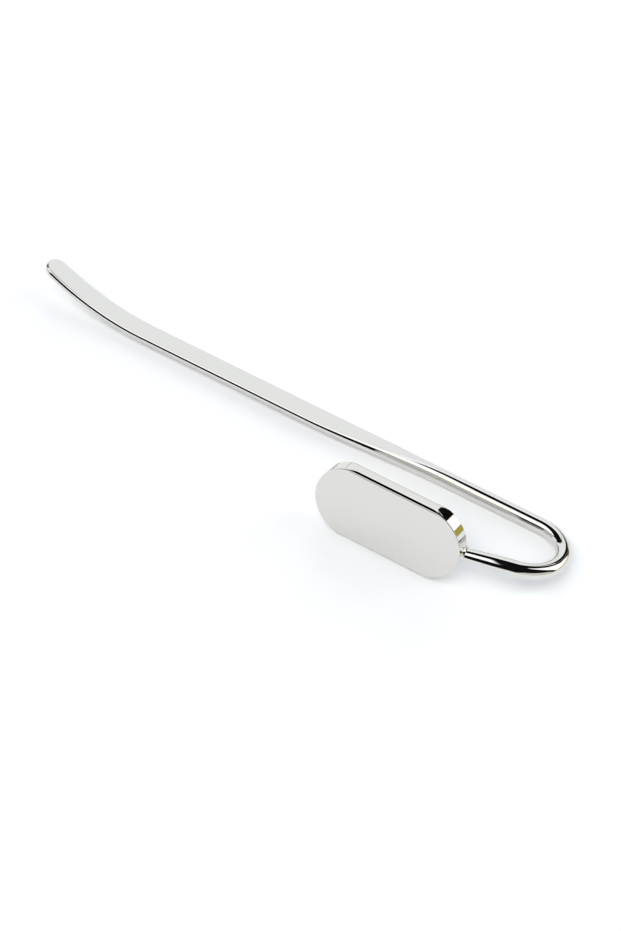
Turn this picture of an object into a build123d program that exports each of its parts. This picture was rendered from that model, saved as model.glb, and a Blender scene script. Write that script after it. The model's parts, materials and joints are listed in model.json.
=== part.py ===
from build123d import *
import os
from math import asin, atan2, cos, degrees, hypot, radians, sin, tan

# A bookmark that hooks over the spine of a book: one wire, hammered flat to a blade at one end and
# bent to a hook at the other, with a solid plaque brazed to the hook's end. The blade goes between
# the pages, and the plaque lies on the spine. Sizes are in millimetres and degrees.
# The pieces stand as the bookmark rests on a table by itself: on the wire, on the blade's far edge
# and on the plaque's lower edge. The table is Z = 0, +X runs along the blade toward the bend, the
# plaque stands on the -Y side, and the origin is under the middle of the whole.

os.makedirs("parts", exist_ok=True)

# The wire and its bend
wire_diameter = 3.0
bend_radius = 7.38  # to the wire's centre line
return_angle = 17.5  # how far the return leg spreads from the straight leg
return_length = 10.0  # from the end of the bend to the plaque's end
straight_length = 19.3  # round wire between the bend and the flattening
neck_diameter = 2.4  # the return leg thins to this where it meets the plaque
neck_length = 8.0  # along which it thins, with a growing slope

# The blade, flattened from the same wire
transition_length = 31.0  # round wire to full blade width
flat_length = 37.0  # blade of one width, in line with the straight leg
curl_length = 25.2  # raised end of the blade, measured along it to the tip
curl_radius = 58.0
blade_width = 5.1
blade_thickness = 1.46
blade_side_bulge = 0.24  # the narrow sides stand out this far at mid thickness
blade_crown = 0.06  # the wide faces stand out this far at mid width
blade_side_shift = 0.36  # the flattened metal lies this far toward the plaque from the wire's axis

# The plaque, a solid plate with round ends and a rim that polishing has rolled off toward both faces
plaque_length = 30.2
plaque_height = 14.9
plaque_thickness = 3.0
rim_roll_radius = 1.9
rim_roll_angle = 32.0  # how far the rim turns toward each face before the tighter edge
plaque_edge_radius = 0.28
joint_set_back = 0.6  # the wire meets the plaque's end this far behind mid thickness

# The brazed joint: a peg on the wire's end sits in a blind seat in the plaque's end
peg_length = 2.5
seat_wall = 0.25  # least metal left beside the seat
braze_gap = 0.08  # filler all round the peg and under the wire's shoulder
braze_leg = 0.5  # fillet of filler up the wire and along the plaque's end

# Sizes that follow from the ones above
wire_radius = wire_diameter / 2
neck_radius = neck_diameter / 2
plaque_radius = plaque_height / 2
half_blade = blade_width / 2
half_thickness = blade_thickness / 2
corner_across = half_blade - blade_side_bulge
corner_up = half_thickness - blade_crown
spread = radians(return_angle)

# Centre line of the hook, in the hook's own plane: the straight leg runs along +X to the bend's start
# at (0, 0), and the bend turns toward -Y, where the plaque is.
bend_end_x = bend_radius * sin(spread)
bend_end_y = -bend_radius * (1 + cos(spread))
joint_x = bend_end_x - return_length * cos(spread)
joint_y = bend_end_y - return_length * sin(spread)
neck_start_x = joint_x + neck_length * cos(spread)
neck_start_y = joint_y + neck_length * sin(spread)
plaque_reach = joint_set_back - joint_y  # from the straight leg's axis to the plaque's mid thickness
blade_end_x = -straight_length - transition_length
curl_start_x = blade_end_x - flat_length

# Half section of the plaque, outward from its middle line and through its thickness: half of the rim
# that stays flat, and how far in from the rim the flat faces begin
rim_turn = radians(rim_roll_angle)
rim_flat_half = (
    plaque_thickness / 2 - plaque_edge_radius * (1 - sin(rim_turn)) - rim_roll_radius * sin(rim_turn)
)
face_inset = rim_roll_radius * (1 - cos(rim_turn)) + plaque_edge_radius * cos(rim_turn)

# Roll of the hook's plane at rest: the plaque's rolled lower rim and the wire share the table.
foot_reach = plaque_reach - rim_flat_half
foot_drop = plaque_radius - rim_roll_radius
foot_slant = asin((wire_radius - rim_roll_radius) / hypot(foot_reach, foot_drop))
roll = atan2(foot_drop, foot_reach) - foot_slant

# Lift of the blade's middle above the wire's axis that puts its far lower corner on the table
blade_lift = corner_up + ((corner_across - blade_side_shift) * sin(roll) - wire_radius) / cos(roll)

# The raised end of the blade, up to the middle of its round tip
curl_angle = (curl_length - half_blade) / curl_radius
tip_x = curl_start_x - curl_radius * sin(curl_angle)
tip_lift = blade_lift + curl_radius * (1 - cos(curl_angle))

# Where the straight leg lies, so that the origin is under the middle of the whole
whole_end_x = bend_radius + wire_radius
whole_tip_x = tip_x - half_blade * cos(curl_angle)
whole_far_y = (half_blade - blade_side_shift) * cos(roll) + tip_lift * sin(roll)
near_reach = plaque_reach + plaque_thickness / 2 - plaque_edge_radius
near_drop = plaque_radius - face_inset
whole_near_y = -near_reach * cos(roll) - near_drop * sin(roll) - plaque_edge_radius
leg_x = -(whole_end_x + whole_tip_x) / 2
leg_y = -(whole_far_y + whole_near_y) / 2

hook_plane = Plane(
    origin=(leg_x, leg_y, wire_radius),
    x_dir=(1, 0, 0),
    z_dir=(0, sin(roll), cos(roll)),
)
leg_dir = hook_plane.x_dir
across_dir = hook_plane.y_dir
up_dir = hook_plane.z_dir


def at(x, y=0.0, z=0.0):
    """Point given along the straight leg, across it and up from the hook's plane."""
    return hook_plane.from_local_coords((x, y, z))


def square_to_leg(x, y=0.0, z=0.0):
    """Plane square to the straight leg, with its own X across the leg and its own Y up."""
    return Plane(origin=at(x, y, z), x_dir=across_dir, z_dir=leg_dir)


def forged_section(plane, half_wide, half_thick, corner_x, corner_y):
    """Four arcs: a crowned face above and below, and a bulged side at each edge."""
    with BuildSketch(plane) as section:
        with BuildLine():
            ThreePointArc((-corner_x, corner_y), (0, half_thick), (corner_x, corner_y))
            ThreePointArc((corner_x, corner_y), (half_wide, 0), (corner_x, -corner_y))
            ThreePointArc((corner_x, -corner_y), (0, -half_thick), (-corner_x, -corner_y))
            ThreePointArc((-corner_x, -corner_y), (-half_wide, 0), (-corner_x, corner_y))
        make_face()
    return section.sketch


def blade_section(plane):
    """Section of the blade where it has its full width."""
    return forged_section(plane, half_blade, half_thickness, corner_across, corner_up)


# Stations of the flattening, from the blade to the round wire
stations = 6
round_corner = radians(55)  # where the round wire's four arcs meet


def transition_section(share):
    """Section at a share of the way from the blade to the round wire."""
    blend = share * share * (3 - 2 * share)
    left = 1 - blend
    plane = square_to_leg(
        blade_end_x + share * transition_length,
        -blade_side_shift * left,
        blade_lift * left,
    )
    return forged_section(
        plane,
        half_blade * left + wire_radius * blend,
        half_thickness * left + wire_radius * blend,
        corner_across * left + wire_radius * cos(round_corner) * blend,
        corner_up * left + wire_radius * sin(round_corner) * blend,
    )


# Axis of the return leg, pointing from the bend into the plaque
return_dir = leg_dir * -cos(spread) + across_dir * -sin(spread)
joint_point = at(joint_x, joint_y)
joint_plane = Plane(origin=joint_point, x_dir=up_dir, z_dir=return_dir)
return_axis = Axis(joint_point, return_dir)
# Plane that holds the return leg's axis: its own X runs along the leg into the plaque
profile_plane = Plane(origin=joint_point, x_dir=return_dir, z_dir=up_dir)

# The seat slants through the plaque's thickness, so its size is what the two faces leave for it.
seat_depth = peg_length + braze_gap
seat_run = seat_depth * tan(spread)
seat_side = max(joint_set_back, seat_run - joint_set_back)
seat_radius = (plaque_thickness / 2 - seat_wall - seat_side) * cos(spread)
peg_radius = seat_radius - braze_gap

# Length past the joint that the neck needs before it is cut to the plaque's round end
neck_overrun = neck_radius * tan(spread) + neck_radius

plaque_plane = Plane(
    origin=at(joint_x - plaque_length / 2, -plaque_reach),
    x_dir=leg_dir,
    z_dir=across_dir * -1,
)


def plaque_section(plane):
    """Half section of the plaque: its own X runs outward to the rim and its own Y through the plate."""
    half_thick = plaque_thickness / 2
    edge_x = plaque_radius - face_inset
    edge_y = half_thick - plaque_edge_radius
    roll_x = plaque_radius - rim_roll_radius
    with BuildSketch(plane) as section:
        with BuildLine():
            Line((0, -half_thick), (edge_x, -half_thick))
            CenterArc((edge_x, -edge_y), plaque_edge_radius, -90, 90 - rim_roll_angle)
            CenterArc((roll_x, -rim_flat_half), rim_roll_radius, -rim_roll_angle, rim_roll_angle)
            Line((plaque_radius, -rim_flat_half), (plaque_radius, rim_flat_half))
            CenterArc((roll_x, rim_flat_half), rim_roll_radius, 0, rim_roll_angle)
            CenterArc((edge_x, edge_y), plaque_edge_radius, rim_roll_angle, 90 - rim_roll_angle)
            Line((edge_x, half_thick), (0, half_thick))
            Line((0, half_thick), (0, -half_thick))
        make_face()
    return section.sketch


# The plaque: at each end a half section turned round the end and extruded along the straight run,
# the upper half from one end and the lower half from the other, and the blind seat for the peg
half_run = plaque_length / 2 - plaque_radius
with BuildPart() as plaque:
    for end in (-1, 1):
        end_point = plaque_plane.from_local_coords((end * half_run, 0, 0))
        end_section = plaque_section(Plane(origin=end_point, x_dir=up_dir * end, z_dir=leg_dir))
        revolve(end_section, axis=Axis(end_point, across_dir), revolution_arc=180)
        extrude(end_section, amount=-2 * half_run * end)
    with BuildSketch(joint_plane.offset(-neck_overrun)):
        Circle(seat_radius)
    extrude(amount=neck_overrun + seat_depth, mode=Mode.SUBTRACT)

# The wire: tip, curl, blade, flattening, straight leg, bend, return leg, neck and peg in one piece
with BuildPart() as hook_and_blade:
    # Round tip, the blade's half section turned about the middle of the tip
    tip_point = at(tip_x, -blade_side_shift, tip_lift)
    tip_along = leg_dir * cos(curl_angle) - up_dir * sin(curl_angle)
    tip_up = leg_dir * sin(curl_angle) + up_dir * cos(curl_angle)
    tip_plane = Plane(origin=tip_point, x_dir=across_dir, z_dir=tip_along)
    with BuildSketch(tip_plane):
        with BuildLine():
            crown_mid_x = corner_across / 2
            crown_mid_y = half_thickness - blade_crown / 4
            ThreePointArc((0, half_thickness), (crown_mid_x, crown_mid_y), (corner_across, corner_up))
            ThreePointArc((corner_across, corner_up), (half_blade, 0), (corner_across, -corner_up))
            ThreePointArc((corner_across, -corner_up), (crown_mid_x, -crown_mid_y), (0, -half_thickness))
            Line((0, -half_thickness), (0, half_thickness))
        make_face()
    revolve(axis=Axis(tip_point, tip_up), revolution_arc=180)

    # Raised end of the blade
    curl_start = square_to_leg(curl_start_x, -blade_side_shift, blade_lift)
    curl_axis = Axis(at(curl_start_x, 0, blade_lift + curl_radius), across_dir)
    revolve(blade_section(curl_start), axis=curl_axis, revolution_arc=degrees(curl_angle))

    # Flat blade, then the flattening up to the round wire
    extrude(blade_section(curl_start), amount=flat_length)
    loft([transition_section(step / stations) for step in range(stations + 1)])

    # Straight leg, bend and return leg as far as the neck
    with BuildLine(hook_plane) as centre_line:
        Line((-straight_length, 0), (0, 0))
        CenterArc((0, -bend_radius), bend_radius, 90, return_angle - 180)
        Line((bend_end_x, bend_end_y), (neck_start_x, neck_start_y))
    with BuildSketch(square_to_leg(-straight_length)):
        Circle(wire_radius)
    sweep(path=centre_line.wires()[0])

    # Neck, cut to the plaque's round end with room for the filler
    with BuildSketch(profile_plane):
        with BuildLine():
            TangentArc((-neck_length, wire_radius), (0, neck_radius), tangent=(1, 0))
            Polyline((0, neck_radius), (neck_overrun, neck_radius), (neck_overrun, 0))
            Polyline((neck_overrun, 0), (-neck_length, 0), (-neck_length, wire_radius))
        make_face()
    revolve(axis=return_axis)
    with BuildSketch(plaque_plane):
        SlotOverall(plaque_length + 2 * braze_gap, plaque_height + 2 * braze_gap)
    extrude(amount=plaque_thickness + wire_diameter, both=True, mode=Mode.SUBTRACT)

    # Peg, from inside the neck to the bottom of the seat
    with BuildSketch(joint_plane.offset(-neck_length / 2)):
        Circle(peg_radius)
    extrude(amount=neck_length / 2 + peg_length)

# The braze filler: a fillet round the neck, the layer under its shoulder and the sleeve in the seat
fillet_radius = neck_radius + braze_leg
with BuildPart() as braze_joint:
    with BuildSketch(profile_plane):
        Polygon(
            (seat_depth + braze_leg, 0),
            (seat_depth + braze_leg, fillet_radius),
            (0, fillet_radius),
            (-braze_leg, neck_radius),
            (-braze_leg, 0),
            align=None,
        )
    revolve(axis=return_axis)
    with BuildSketch(plaque_plane):
        SlotOverall(plaque_length + 2 * neck_length, plaque_height)
    extrude(amount=plaque_thickness / 2 - plaque_edge_radius, both=True, mode=Mode.INTERSECT)
    add(plaque.part, mode=Mode.SUBTRACT)
    add(hook_and_blade.part, mode=Mode.SUBTRACT)

plaque.part.label = "plaque"
hook_and_blade.part.label = "hook_and_blade"
braze_joint.part.label = "braze_joint"

export_step(plaque.part, "parts/plaque.step")
export_step(hook_and_blade.part, "parts/hook_and_blade.step")
export_step(braze_joint.part, "parts/braze_joint.step")
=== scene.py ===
import json
import math

import bpy
from mathutils import Matrix, Vector


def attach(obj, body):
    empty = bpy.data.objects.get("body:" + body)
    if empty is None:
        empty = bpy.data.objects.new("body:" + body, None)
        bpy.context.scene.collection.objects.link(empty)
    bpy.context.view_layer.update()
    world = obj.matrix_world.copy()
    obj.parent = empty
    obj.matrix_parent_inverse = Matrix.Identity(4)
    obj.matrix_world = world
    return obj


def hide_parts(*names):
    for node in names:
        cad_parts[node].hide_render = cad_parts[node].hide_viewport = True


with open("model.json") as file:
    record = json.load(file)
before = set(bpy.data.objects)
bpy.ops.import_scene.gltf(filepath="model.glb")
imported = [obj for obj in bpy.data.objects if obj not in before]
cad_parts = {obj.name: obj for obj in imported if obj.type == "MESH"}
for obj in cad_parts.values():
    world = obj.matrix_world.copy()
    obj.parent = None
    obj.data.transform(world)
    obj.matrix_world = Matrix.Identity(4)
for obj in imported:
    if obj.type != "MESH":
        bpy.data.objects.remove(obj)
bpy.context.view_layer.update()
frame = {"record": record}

# A bookmark that hooks over a book's spine: one wire, hammered flat to a blade at one end and bent
# to a hook at the other, with a solid plaque brazed to its end. Sizes are in metres and radians.
mm = 0.001

# The wire and its bend
wire_radius = 1.5 * mm
bend_radius = 7.38 * mm
return_angle = math.radians(17.5)
return_length = 10.0 * mm
straight_length = 19.3 * mm
neck_radius = 1.2 * mm
neck_length = 8.0 * mm

# The blade, flattened from the same wire
transition_length = 31.0 * mm
flat_length = 37.0 * mm
curl_length = 25.2 * mm
curl_radius = 58.0 * mm
blade_width = 5.1 * mm
blade_thickness = 1.46 * mm
blade_side_bulge = 0.24 * mm
blade_crown = 0.06 * mm
blade_side_shift = 0.36 * mm
face_rounding_delay = 7.0 * mm  # the faces grow round this much later than the width narrows
blade_edge_radius = 0.06 * mm

# The plaque
plaque_length = 30.2 * mm
plaque_height = 14.9 * mm
plaque_thickness = 3.0 * mm
rim_roll_radius = 1.9 * mm
rim_roll_angle = math.radians(32)
roll_fade_angle = math.radians(30)  # the roll fades over this much of each round end
plaque_edge_radius = 0.28 * mm
plaque_end_roll_share = 0.02  # round the ends the rim is almost flat, and its edge tighter
plaque_end_edge_share = 0.45
joint_set_back = 0.6 * mm

# The braze between them
braze_leg = 0.5 * mm
braze_depth = 0.25 * mm

# The plating
wire_colour = (0.712, 0.704, 0.68)
plaque_colour = (0.72, 0.702, 0.672)
tint_cloud_length = 9.0 * mm
tint_share = 0.015  # how far the clouds lighten and darken the colour
mark_width = 0.5 * mm
mark_stretch = 0.08  # along X, so that the wiping marks run lengthwise
mark_noise_range = (0.4, 0.75)  # noise at which a mark begins and at which it is full
polished_roughness = 0.025
wiped_roughness = 0.06
ripple_length = 3.0 * mm
ripple_stretch = 0.5  # along X
wire_ripple = 0.008 * mm
plaque_ripple = 0.001 * mm

# Points of a mesh that lie closer than this are joined
seam_distance = 0.0004 * mm

# Sizes that follow from the ones above
half_blade = blade_width / 2
half_thickness = blade_thickness / 2
corner_across = half_blade - blade_side_bulge
corner_up = half_thickness - blade_crown
plaque_radius = plaque_height / 2
bend_angle = math.pi - return_angle
joint_x = bend_radius * math.sin(return_angle) - return_length * math.cos(return_angle)
joint_y = -bend_radius * (1 + math.cos(return_angle)) - return_length * math.sin(return_angle)
plaque_reach = joint_set_back - joint_y
curl_angle = (curl_length - half_blade) / curl_radius


def mount(name):
    """A mount of the record by its name."""
    return next(m for m in frame["record"]["mounts"] if m["name"] == name)


# The hook's own frame, from the plaque's front face: along the leg, across it and up
face_point = Vector(mount("plaque_face")["pos_m"])
face_axis = Vector(mount("plaque_face")["axis"]).normalized()
along = Vector((1, 0, 0))
across = -face_axis
up = along.cross(across)
roll = math.atan2(face_axis.z, -face_axis.y)
leg_point = face_point - along * (joint_x - plaque_length / 2)
leg_point += across * (plaque_reach + plaque_thickness / 2)
hook_frame = Matrix((along, across, up)).transposed().to_4x4()
hook_frame.translation = leg_point
edge_drop = (corner_across - blade_side_shift) * math.sin(roll)
blade_lift = corner_up + (edge_drop - wire_radius) / math.cos(roll)


class Value:
    """A number or field in a node tree, with the usual arithmetic."""

    def __init__(self, tree, socket):
        self.tree = tree
        self.socket = socket

    def math(self, operation, *others):
        node = self.tree.nodes.new("ShaderNodeMath")
        node.operation = operation
        for place, value in enumerate((self, *others)):
            if isinstance(value, Value):
                self.tree.links.new(value.socket, node.inputs[place])
            else:
                node.inputs[place].default_value = value
        return Value(self.tree, node.outputs[0])

    def constant(self, number):
        node = self.tree.nodes.new("ShaderNodeValue")
        node.outputs[0].default_value = number
        return Value(self.tree, node.outputs[0])

    def __add__(self, other):
        return self.math("ADD", other)

    def __sub__(self, other):
        return self.math("SUBTRACT", other)

    def __rsub__(self, other):
        return self.constant(other).math("SUBTRACT", self)

    def __mul__(self, other):
        return self.math("MULTIPLY", other)

    def __rmul__(self, other):
        return self.math("MULTIPLY", other)

    def __truediv__(self, other):
        return self.math("DIVIDE", other)

    def __neg__(self):
        return self.math("MULTIPLY", -1.0)

    def sin(self):
        return self.math("SINE")

    def cos(self):
        return self.math("COSINE")

    def atan(self):
        return self.math("ARCTANGENT")

    def abs(self):
        return self.math("ABSOLUTE")

    def sign(self):
        return self.math("SIGN")

    def floor(self):
        return self.math("FLOOR")

    def min(self, other):
        return self.math("MINIMUM", other)

    def max(self, other):
        return self.math("MAXIMUM", other)

    def clamp(self, low, high):
        return self.max(low).min(high)

    def over(self, limit):
        return self.math("GREATER_THAN", limit)

    def under(self, limit):
        return self.math("LESS_THAN", limit)

    def ease(self):
        """Smooth step of a share from 0 to 1."""
        share = self.clamp(0.0, 1.0)
        return share * share * (3.0 - 2.0 * share)

    def toward(self, other, share):
        """Blend from this value to the other."""
        return self + (other - self) * share


class GeometryTree:
    """A geometry node tree with named inputs, whose numbers come back as values."""

    def __init__(self, name):
        self.tree = bpy.data.node_groups.new(name, "GeometryNodeTree")
        self.add_socket("Geometry", "OUTPUT", "NodeSocketGeometry")
        self.settings = {}
        self.group_in = self.tree.nodes.new("NodeGroupInput")

    def add_socket(self, name, side, kind):
        return self.tree.interface.new_socket(name, in_out=side, socket_type=kind)

    def size(self, name, number):
        socket = self.add_socket(name, "INPUT", "NodeSocketFloat")
        self.settings[socket.identifier] = number
        return Value(self.tree, self.group_in.outputs[name])

    def place(self, name, vector):
        socket = self.add_socket(name, "INPUT", "NodeSocketVector")
        self.settings[socket.identifier] = vector
        return self.group_in.outputs[name]

    def finish(self, name, material):
        socket = self.add_socket(name, "INPUT", "NodeSocketMaterial")
        self.settings[socket.identifier] = material
        return self.group_in.outputs[name]

    def node(self, kind, **links):
        node = self.tree.nodes.new(kind)
        for name, value in links.items():
            key = name.replace("_", " ")
            if isinstance(value, Value):
                value = value.socket
            if isinstance(value, bpy.types.NodeSocket):
                self.tree.links.new(value, node.inputs[key])
            else:
                node.inputs[key].default_value = value
        return node

    def vector(self, x, y, z):
        return self.node("ShaderNodeCombineXYZ", X=x, Y=y, Z=z).outputs[0]


def grid_rows(tree, rows, columns):
    """A grid of points with its row and column number as fields."""
    grid = tree.node("GeometryNodeMeshGrid", Size_X=float(rows - 1), Size_Y=float(columns - 1))
    grid.inputs["Vertices X"].default_value = rows
    grid.inputs["Vertices Y"].default_value = columns
    point = tree.node("GeometryNodeInputPosition").outputs[0]
    split = tree.node("ShaderNodeSeparateXYZ", Vector=point)
    row = Value(tree.tree, split.outputs["X"]) + (rows - 1) / 2
    column = Value(tree.tree, split.outputs["Y"]) + (columns - 1) / 2
    return grid.outputs["Mesh"], row, column


def made_piece(tree, mesh, position, turn, place, plating, name):
    """Sets a grid's points, closes its seams, puts it in its place and makes it a plain mesh."""
    moved = tree.node("GeometryNodeSetPosition", Geometry=mesh, Position=position).outputs[0]
    merged = tree.node("GeometryNodeMergeByDistance", Geometry=moved, Distance=seam_distance)
    outside = tree.node("GeometryNodeFlipFaces", Mesh=merged.outputs[0]).outputs[0]
    put = tree.node("GeometryNodeTransform", Geometry=outside, Rotation=turn, Translation=place)
    smooth = tree.node("GeometryNodeSetShadeSmooth", Geometry=put.outputs[0])
    real = tree.node("GeometryNodeRealizeInstances", Geometry=smooth.outputs[0])
    dressed = tree.node("GeometryNodeSetMaterial", Geometry=real.outputs[0], Material=plating)
    out = tree.tree.nodes.new("NodeGroupOutput")
    tree.tree.links.new(dressed.outputs[0], out.inputs[0])
    holder = bpy.data.objects.new(name, bpy.data.meshes.new(name))
    bpy.context.scene.collection.objects.link(holder)
    maker = holder.modifiers.new(name, "NODES")
    maker.node_group = tree.tree
    for key, value in tree.settings.items():
        maker[key] = value
    view = bpy.context.evaluated_depsgraph_get()
    mesh_data = bpy.data.meshes.new_from_object(holder.evaluated_get(view), depsgraph=view)
    holder.modifiers.remove(maker)
    holder.data = mesh_data
    mesh_data.name = name
    return holder


def blended(tree, share, first, second):
    """A blend of two colours by a share; each colour is a socket or plain numbers."""
    mix = tree.nodes.new("ShaderNodeMix")
    mix.data_type = "RGBA"
    tree.links.new(share, mix.inputs["Factor"])
    colour_sockets = [socket for socket in mix.inputs if socket.type == "RGBA"]
    for socket, colour in zip(colour_sockets, (first, second)):
        if isinstance(colour, bpy.types.NodeSocket):
            tree.links.new(colour, socket)
        else:
            socket.default_value = (*colour, 1)
    return next(socket for socket in mix.outputs if socket.type == "RGBA")


def polished_plating(name, colour, ripple):
    """Polished plating: faint clouds in its tint, fine wiping marks and a slow ripple."""
    material = bpy.data.materials.new(name)
    material.use_nodes = True
    nodes, links = material.node_tree.nodes, material.node_tree.links
    shader = nodes["Principled BSDF"]
    shader.inputs["Metallic"].default_value = 1.0
    coords = nodes.new("ShaderNodeTexCoord")

    def noise(size, detail, stretch=(1, 1, 1)):
        """Noise over the surface whose clouds are about this long."""
        spread = nodes.new("ShaderNodeMapping")
        spread.inputs["Scale"].default_value = stretch
        links.new(coords.outputs["Object"], spread.inputs["Vector"])
        cloud = nodes.new("ShaderNodeTexNoise")
        links.new(spread.outputs["Vector"], cloud.inputs["Vector"])
        cloud.inputs["Scale"].default_value = 1 / size
        cloud.inputs["Detail"].default_value = detail
        return cloud.outputs["Fac"]

    darker = [(1 - tint_share) * channel for channel in colour]
    lighter = [(1 + tint_share) * channel for channel in colour]
    clouds = noise(tint_cloud_length, detail=3)
    tint = blended(material.node_tree, clouds, darker, lighter)
    links.new(tint, shader.inputs["Base Color"])
    marks = nodes.new("ShaderNodeMapRange")
    links.new(noise(mark_width, detail=4, stretch=(mark_stretch, 1, 1)), marks.inputs["Value"])
    marks.inputs["From Min"].default_value = mark_noise_range[0]
    marks.inputs["From Max"].default_value = mark_noise_range[1]
    marks.inputs["To Min"].default_value = polished_roughness
    marks.inputs["To Max"].default_value = wiped_roughness
    links.new(marks.outputs["Result"], shader.inputs["Roughness"])
    waves = nodes.new("ShaderNodeBump")
    swell = noise(ripple_length, detail=1, stretch=(ripple_stretch, 1, 1))
    links.new(swell, waves.inputs["Height"])
    waves.inputs["Distance"].default_value = ripple
    links.new(waves.outputs["Normal"], shader.inputs["Normal"])
    return material


def wire_piece(finish):
    """The wire: round tip, raised blade, flat blade, flattening, leg, bend, return leg and neck."""
    tree = GeometryTree("forged wire")
    wire = tree.size("Wire Radius", wire_radius)
    bend = tree.size("Bend Radius", bend_radius)
    bend_turn = tree.size("Bend Angle", bend_angle)
    spread = tree.size("Return Angle", return_angle)
    return_run = tree.size("Return Length", return_length)
    neck = tree.size("Neck Radius", neck_radius)
    neck_run = tree.size("Neck Length", neck_length)
    leg_run = tree.size("Straight Length", straight_length)
    flattening = tree.size("Transition Length", transition_length)
    flat_run = tree.size("Flat Length", flat_length)
    curl = tree.size("Curl Radius", curl_radius)
    curl_turn = tree.size("Curl Angle", curl_angle)
    half_wide = tree.size("Blade Half Width", half_blade)
    half_thick = tree.size("Blade Half Thickness", half_thickness)
    bulge = tree.size("Side Bulge", blade_side_bulge)
    crown = tree.size("Face Crown", blade_crown)
    edge = tree.size("Edge Radius", blade_edge_radius)
    lift = tree.size("Blade Lift", blade_lift)
    shift = tree.size("Blade Side Shift", blade_side_shift)
    rounding_delay = tree.size("Rounding Delay", face_rounding_delay)
    turn = tree.place("Hook Turn", hook_frame.to_euler())
    place = tree.place("Leg Point", leg_point)
    plating = tree.finish("Plating", finish)

    tip_rows = 24
    path_rows = 520
    quarter_points = 24
    rows = tip_rows + path_rows + 1
    columns = 4 * quarter_points + 1
    mesh, row, column = grid_rows(tree, rows, columns)

    # Length along the centre line from the middle of the round tip
    path_length = curl_turn * curl + flat_run + flattening + leg_run + bend * bend_turn + return_run
    travel = ((row - tip_rows) / (path_rows - 1)).clamp(0.0, 1.0) * path_length
    curl_run = curl_turn * curl
    straight_run = flat_run + flattening + leg_run
    curled = (curl_run - travel).max(0.0) / curl
    straight = (travel - curl_run).max(0.0).min(straight_run)
    bent = ((travel - curl_run - straight_run) / bend).max(0.0).min(bend_turn)
    returned = (travel - curl_run - straight_run - bend * bend_turn).max(0.0)

    # Share of the way from the blade's section to the round wire's
    roundness = ((straight - flat_run) / flattening).ease()
    flatness = 1.0 - roundness

    # Radius of the neck, which thins with a growing slope
    into_neck = ((returned - return_run + neck_run) / neck_run).clamp(0.0, 1.0)
    thinning = 1.0 - (1.0 - neck / wire) * into_neck * into_neck
    closing = 1.0 - (row - (rows - 2)).max(0.0)
    section_scale = thinning * closing

    # Section by the angle of its normal: side arc, softened corner and face arc in each quarter.
    # On the round wire the side arc gives way to the face arc at the split.
    round_split = math.radians(55)
    inner = wire - edge
    rounding = ((straight - flat_run - rounding_delay) / flattening).ease()
    side_sag = bulge * flatness + inner * (1 - math.cos(round_split)) * roundness
    face_sag = crown.toward(inner * (1 - math.sin(round_split)), rounding)
    corner_u = (half_wide - edge) * flatness + inner * roundness - side_sag
    corner_v = (half_thick - edge) * flatness + inner * roundness - face_sag
    side_turn = 2.0 * (side_sag / corner_v).atan()
    face_turn = 2.0 * (face_sag / corner_u).atan()
    face_start = math.pi / 2 - face_turn
    side_radius = corner_v / side_turn.sin()
    face_radius = corner_u / face_turn.sin()

    quarter = (column / quarter_points).floor().min(3.0)
    within = column / quarter_points - quarter
    odd = quarter.math("MODULO", 2.0)
    share = within.toward(1.0 - within, odd)
    third = share * 3.0
    angle = (
        side_turn * third.clamp(0.0, 1.0)
        + (face_start - side_turn) * (third - 1.0).clamp(0.0, 1.0)
        + face_turn * (third - 2.0).clamp(0.0, 1.0)
    )
    side_angle = angle.min(side_turn)
    face_angle = angle.max(face_start)
    u = (
        corner_u
        + side_radius * (side_angle.cos() - side_turn.cos())
        + face_radius * (face_angle.cos() - face_start.cos())
        + edge * angle.cos()
    )
    v = (
        corner_v
        + side_radius * (side_angle.sin() - side_turn.sin())
        + face_radius * (face_angle.sin() - face_start.sin())
        + edge * angle.sin()
    )
    u_side = 1.0 - 2.0 * (quarter - 1.5).abs().under(1.0)
    v_side = 1.0 - 2.0 * quarter.over(1.5)
    u = u * u_side * section_scale
    v = v * v_side * section_scale

    # Round tip: each half of the section swings about the middle of the tip
    swing = (1.0 - row / tip_rows).clamp(0.0, 1.0) * (math.pi / 2)
    tip_reach = u.abs() * swing.sin()
    u = u * swing.cos()

    path_x = straight - straight_run - curl * curled.sin() + bend * bent.sin()
    path_x = path_x - returned * spread.cos()
    path_y = -(bend * (1.0 - bent.cos())) - returned * spread.sin() - shift * flatness
    path_z = curl * (1.0 - curled.cos()) + lift * flatness
    tangent_x = curled.cos() * bent.cos()
    position = tree.vector(
        path_x + u * bent.sin() + v * curled.sin() - tip_reach * tangent_x,
        path_y + u * bent.cos(),
        path_z + v * curled.cos() + tip_reach * curled.sin(),
    )
    return made_piece(tree, mesh, position, turn, place, plating, "wire_hook_and_blade")


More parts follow.
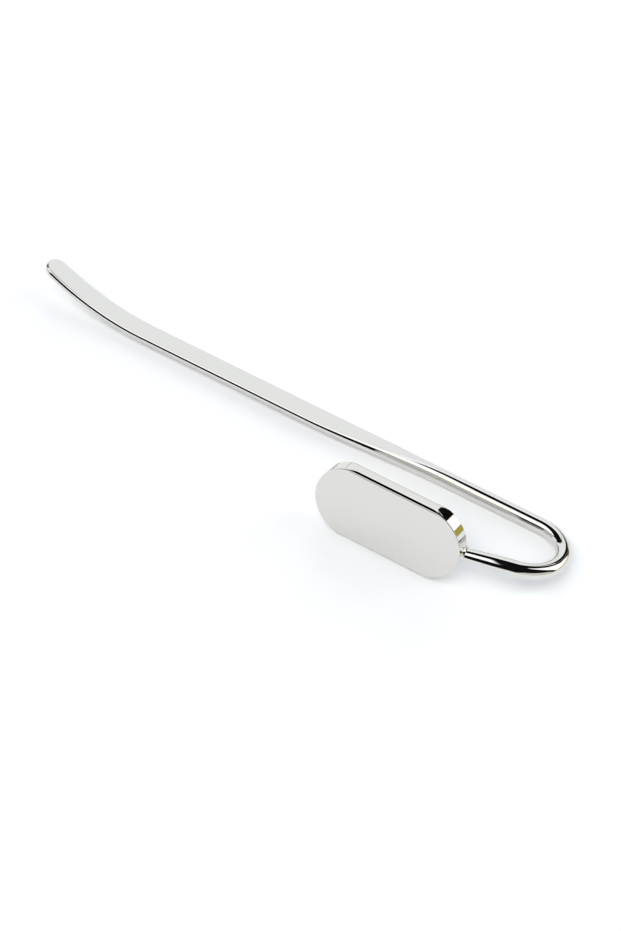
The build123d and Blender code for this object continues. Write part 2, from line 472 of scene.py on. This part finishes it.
def plaque_piece(finish):
    """The plaque: a round-ended plate whose rim rolls off toward both faces."""
    tree = GeometryTree("rolled plate")
    radius = tree.size("End Radius", plaque_radius)
    half_run = tree.size("Half Straight Run", plaque_length / 2 - plaque_radius)
    half_thick = tree.size("Half Thickness", plaque_thickness / 2)
    roll_radius = tree.size("Rim Roll Radius", rim_roll_radius)
    roll_turn = tree.size("Rim Roll Angle", rim_roll_angle)
    edge = tree.size("Edge Radius", plaque_edge_radius)
    end_roll_share = tree.size("End Roll Share", plaque_end_roll_share)
    end_edge_share = tree.size("End Edge Share", plaque_end_edge_share)
    turn = tree.place("Hook Turn", hook_frame.to_euler())
    centre = hook_frame @ Vector((joint_x - plaque_length / 2, -plaque_reach, 0))
    place = tree.place("Plaque Middle", centre)
    plating = tree.finish("Plating", finish)

    # Rows from the middle of the rim to the middle of a face: flat rim, roll, tight edge and face
    roll_rows = 12
    edge_rows = 12
    face_row = 1 + roll_rows + edge_rows
    half_rows = face_row + 2
    outline_points = 224
    mesh, row, column = grid_rows(tree, 2 * half_rows + 1, outline_points + 1)
    from_middle = row - half_rows
    face_side = from_middle.sign()
    level = from_middle.abs()
    quarter_turn = math.pi / 2
    around = column * (2 * math.pi / outline_points)
    end_share = (around.cos().abs() / math.sin(roll_fade_angle)).ease()
    rolled_share = 1.0 - end_share * (1 - end_roll_share)
    roll_turn = roll_turn * rolled_share
    edge = edge * end_edge_share.toward(1.0, rolled_share)
    rolled = roll_turn * ((level - 1.0) / roll_rows).clamp(0.0, 1.0)
    edged = (quarter_turn - roll_turn) * ((level - 1.0 - roll_rows) / edge_rows).clamp(0.0, 1.0)
    angle = rolled + edged
    flat_half = half_thick - edge * (1.0 - roll_turn.sin()) - roll_radius * roll_turn.sin()
    outward = (
        radius
        - roll_radius * (1.0 - rolled.cos())
        - edge * (roll_turn.cos() - angle.max(roll_turn).cos())
    )
    height = (
        flat_half * level.min(1.0)
        + roll_radius * rolled.sin()
        + edge * (angle.max(roll_turn).sin() - roll_turn.sin())
    )
    face_margin = 0.1 * mm
    inset = face_margin * (level - face_row).clamp(0.0, 1.0)
    shrink = 1.0 - (level - (face_row + 1)).clamp(0.0, 1.0)
    outward = (outward - inset) * shrink
    # -1, 0 or 1: the left round end, the middle of a straight or the right round end
    steepness = 1e4
    side = (around.cos() * steepness + 0.5).floor().clamp(-1.0, 1.0)
    position = tree.vector(
        side * half_run + outward * around.cos(),
        -(height * face_side),
        outward * around.sin(),
    )
    return made_piece(tree, mesh, position, turn, place, plating, "plaque_plate")


def braze_piece(finish):
    """The braze: a hollow fillet round the neck where it meets the plaque's round end."""
    tree = GeometryTree("braze fillet")
    wire = tree.size("Wire Radius", wire_radius)
    neck = tree.size("Neck Radius", neck_radius)
    neck_run = tree.size("Neck Length", neck_length)
    spread = tree.size("Return Angle", return_angle)
    end_radius = tree.size("End Radius", plaque_radius)
    leg = tree.size("Fillet Leg", braze_leg)
    depth = tree.size("Depth Inside", braze_depth)
    turn = tree.place("Hook Turn", hook_frame.to_euler())
    place = tree.place("Joint Point", hook_frame @ Vector((joint_x, joint_y, 0)))
    plating = tree.finish("Plating", finish)

    # Section of the ring: the hollow from the neck to the plaque, then back through the inside
    hollow_rows = 20
    ring_points = 96
    mesh, row, column = grid_rows(tree, hollow_rows + 3, ring_points + 1)
    around = column * (-2 * math.pi / ring_points)
    swing = (row / hollow_rows).clamp(0.0, 1.0) * (math.pi / 2)
    left = 1.0 - leg / neck_run
    neck_here = wire - (wire - neck) * left * left
    hidden = (row - hollow_rows).clamp(0.0, 1.0) * (hollow_rows + 2 - row).clamp(0.0, 1.0)
    radial = (neck_here + leg - leg * swing.cos()).toward(neck - depth, hidden)
    rise = (leg - leg * swing.sin()).toward(-depth, hidden)
    closing = (row - (hollow_rows + 1)).clamp(0.0, 1.0)
    radial = radial.toward(neck_here, closing)
    rise = rise.toward(leg, closing)

    # The plaque's end falls away from the joint, and the neck meets it at the return angle
    z = radial * around.sin()
    x = rise - z * z / (2.0 * end_radius)
    y = radial * around.cos() / spread.cos() + x * spread.sin() / spread.cos()
    position = tree.vector(x, y, z)
    return made_piece(tree, mesh, position, turn, place, plating, "braze_fillet")


# The studio. A direction is an azimuth and an elevation in degrees, as seen from the object: the
# camera stands at azimuth 302, the far side is at 122, the right at 32 and the left at 212.
room_colour = (0.006, 0.005, 0.006)
room_fill = (0.11, 0.155, 0.205)  # light from the rest of the room, which no mirror shows
lamp_inner_angle = math.radians(10)  # a lamp fades out between these angles from its middle
lamp_outer_angle = math.radians(30)
soft_lamps = (  # low on the far side and high in front; no mirror shows them
    ((105, 30), (0.7, 0.69, 0.67)),
    ((290, 68), (1.9, 1.86, 1.8)),
)
white_card = (1.06, 1.088, 1.107)
bright_card = (1.18, 1.21, 1.24)
pale_wall = (0.79, 0.77, 0.73)
left_box = (1.85, 1.8, 1.74)
right_box = (2.0, 1.98, 1.94)
mirrored_limit = 1.46  # a mirror on the object shows the soft boxes just white
studio_panels = (  # corners, softness of the edges and light
    # White cards on the far side, and the higher middle of them
    (((80, -2), (80, 34.2), (97, 34.2), (140, 28), (170, 13), (178, -2)), 0.04, white_card),
    (((97, 31), (99, 49.5), (119, 51.5), (134, 30)), 0.04, bright_card),
    # White card low on the left
    (((176, -2), (176, 13), (200, 21), (236, 21), (240, -2)), 0.04, white_card),
    # Pale wall behind the camera and to its right
    (((287, 5), (305, 26), (335, 29), (352, 24), (4, 17), (9, -2), (287, -2)), 0.06, pale_wall),
    # Soft box on the right, and its low end
    (((47, 70), (27, 52), (21, 35), (19, 1), (62, 1), (62, 53)), 0.03, right_box),
    (((69, 1), (69, 19), (60, 24), (60, 1)), 0.02, right_box),
    # Soft box overhead, on the left and in front
    (((325, 86), (291, 50.5), (244, 37.5), (212, 30.5), (188, 22.5)), 0.02, left_box),
)

# The white sheet, and beyond the picture a strip of bare desk and a dark card. These two show only
# in mirrors.
sheet_half_width = 1.5
sheet_colour = (0.95, 0.95, 0.95)
sheet_glow = (0.056, 0.056, 0.054)  # brings the sheet to white for the camera and in mirrors
desk_colour = (0.47, 0.395, 0.065)
desk_azimuth = 48
desk_distance = 82 * mm
desk_edge = 6 * mm
flag_distance = 280 * mm
flag_corners = ((78, 28), (98, 28), (98, 4), (78, 4))
matt_roughness = 0.9

# The photograph's camera
camera_direction = (301.968, 53.431)
camera_distance = 470.3 * mm
camera_aim = Vector((leg_point.x - 44.024 * mm, leg_point.y - 9.8 * mm, 0))
focal_pixels = 2500.0
picture_height_pixels = 931.0
sensor_size = 36.0
nearest_seen = 0.01
farthest_seen = 10.0


def direction(azimuth, elevation):
    """Unit vector at an azimuth from +X toward +Y and an elevation above the table, in degrees."""
    a, e = math.radians(azimuth), math.radians(elevation)
    return Vector((math.cos(a) * math.cos(e), math.sin(a) * math.cos(e), math.sin(e)))


def studio_world():
    """A dark room with soft boxes and white cards; plain white where the camera looks at it."""
    world = bpy.data.worlds.new("studio")
    bpy.context.scene.world = world
    world.use_nodes = True
    tree = world.node_tree
    nodes, links = tree.nodes, tree.links
    background = nodes["Background"]
    coords = nodes.new("ShaderNodeTexCoord")

    def nearness(aim, low, high):
        """0 to 1 as the cosine to an aim grows from low to high."""
        dot = nodes.new("ShaderNodeVectorMath")
        dot.operation = "DOT_PRODUCT"
        links.new(coords.outputs["Generated"], dot.inputs[0])
        dot.inputs[1].default_value = aim
        step = nodes.new("ShaderNodeMapRange")
        step.interpolation_type = "SMOOTHSTEP"
        links.new(dot.outputs["Value"], step.inputs["Value"])
        step.inputs["From Min"].default_value = low
        step.inputs["From Max"].default_value = high
        return Value(tree, step.outputs["Result"])

    def panel(corners, soft):
        """1 inside a panel whose corners are seen at these azimuths and elevations."""
        points = [direction(*corner) for corner in corners]
        middle = sum(points, Vector()).normalized()
        inside = None
        for here, there in zip(points, points[1:] + points[:1]):
            normal = here.cross(there).normalized()
            if normal.dot(middle) < 0:
                normal.negate()
            edge = nearness(normal, -soft, soft)
            inside = edge if inside is None else inside * edge
        return inside

    colour = nodes.new("ShaderNodeRGB").outputs[0]
    colour.default_value = (*room_colour, 1)
    for corners, soft, light in studio_panels:
        colour = blended(tree, panel(corners, soft).socket, colour, light)

    # What a mirror shows, and what lights the sheet and the object
    limited = nodes.new("ShaderNodeVectorMath")
    limited.operation = "MINIMUM"
    links.new(colour, limited.inputs[0])
    limited.inputs[1].default_value = (mirrored_limit,) * 3
    filled = nodes.new("ShaderNodeVectorMath")
    links.new(colour, filled.inputs[0])
    filled.inputs[1].default_value = room_fill
    lamp_edge = (math.cos(lamp_outer_angle), math.cos(lamp_inner_angle))
    for bearing, light in soft_lamps:
        spot = nearness(direction(*bearing), *lamp_edge)
        glow = nodes.new("ShaderNodeVectorMath")
        glow.operation = "SCALE"
        glow.inputs[0].default_value = light
        links.new(spot.socket, glow.inputs["Scale"])
        lit = nodes.new("ShaderNodeVectorMath")
        links.new(filled.outputs["Vector"], lit.inputs[0])
        links.new(glow.outputs["Vector"], lit.inputs[1])
        filled = lit

    # The limit holds for what the camera sees in a mirror, and not for the light that a mirror
    # throws on the sheet
    seen = nodes.new("ShaderNodeLightPath")
    straight = (1 - Value(tree, seen.outputs["Diffuse Depth"])).max(0.0)
    mirrored = Value(tree, seen.outputs["Is Glossy Ray"]) * straight
    colour = blended(tree, mirrored.socket, filled.outputs["Vector"], limited.outputs["Vector"])
    colour = blended(tree, seen.outputs["Is Camera Ray"], colour, (1, 1, 1))
    links.new(colour, background.inputs["Color"])


def matt_finish(name):
    """A matt material and its shader."""
    material = bpy.data.materials.new(name)
    material.use_nodes = True
    shader = material.node_tree.nodes["Principled BSDF"]
    shader.inputs["Roughness"].default_value = matt_roughness
    shader.inputs["Specular IOR Level"].default_value = 0.0
    return material, shader


def flat_card(name, corners, material):
    """A card with four corners."""
    mesh = bpy.data.meshes.new(name)
    mesh.from_pydata(corners, [], [(0, 1, 2, 3)])
    mesh.materials.append(material)
    card = bpy.data.objects.new(name, mesh)
    bpy.context.scene.collection.objects.link(card)
    return card


def table():
    """The white sheet that the bookmark lies on, with the strip of bare desk."""
    material, shader = matt_finish("white table")
    tree = material.node_tree
    coords = tree.nodes.new("ShaderNodeTexCoord")
    away = tree.nodes.new("ShaderNodeVectorMath")
    away.operation = "DOT_PRODUCT"
    tree.links.new(coords.outputs["Object"], away.inputs[0])
    away.inputs[1].default_value = direction(desk_azimuth, 0)
    past = Value(tree, away.outputs["Value"]) - desk_distance
    seen = tree.nodes.new("ShaderNodeLightPath")
    mirrored = Value(tree, seen.outputs["Is Glossy Ray"])
    bare = (past / desk_edge).clamp(0.0, 1.0) * mirrored
    tint = blended(tree, bare.socket, sheet_colour, desk_colour)
    tree.links.new(tint, shader.inputs["Base Color"])
    glow = Value(tree, seen.outputs["Is Camera Ray"]) + mirrored - bare
    shader.inputs["Emission Color"].default_value = (*sheet_glow, 1)
    tree.links.new(glow.socket, shader.inputs["Emission Strength"])
    half = sheet_half_width
    corners = [(-half, -half, 0), (half, -half, 0), (half, half, 0), (-half, half, 0)]
    floor = flat_card("table", corners, material)


def black_flag():
    """A dark card beyond the plaque's joint end: the light passes by it and only mirrors show it."""
    material, shader = matt_finish("black flag")
    shader.inputs["Base Color"].default_value = (*room_colour, 1)
    joint_end = hook_frame @ Vector((joint_x, -plaque_reach, 0))
    corners = [joint_end + flag_distance * direction(*corner) for corner in flag_corners]
    card = flat_card("black flag", corners, material)
    card.visible_camera = False
    card.visible_diffuse = False
    card.visible_shadow = False


def camera():
    """The photograph's view: a long lens, high over the plaque's side."""
    data = bpy.data.cameras.new("camera")
    data.sensor_width = sensor_size
    data.lens = focal_pixels / picture_height_pixels * sensor_size
    data.clip_start = nearest_seen
    data.clip_end = farthest_seen
    holder = bpy.data.objects.new("camera", data)
    bpy.context.scene.collection.objects.link(holder)
    back = direction(*camera_direction)
    holder.location = camera_aim + back * camera_distance
    holder.rotation_mode = "QUATERNION"
    holder.rotation_quaternion = (-back).to_track_quat("-Z", "Y")
    bpy.context.scene.camera = holder


wire_plating = polished_plating("wire_plating", wire_colour, wire_ripple)
plaque_plating = polished_plating("plaque_plating", plaque_colour, plaque_ripple)
braze_plating = polished_plating("braze_plating", wire_colour, wire_ripple)
wire = wire_piece(wire_plating)
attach(wire, "root")
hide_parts("hook_and_blade")
plaque = plaque_piece(plaque_plating)
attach(plaque, "root")
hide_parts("plaque")
braze = braze_piece(braze_plating)
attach(braze, "root")
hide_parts("braze_joint")
studio_world()
table()
black_flag()
camera()
bpy.context.scene.view_settings.view_transform = "Standard"
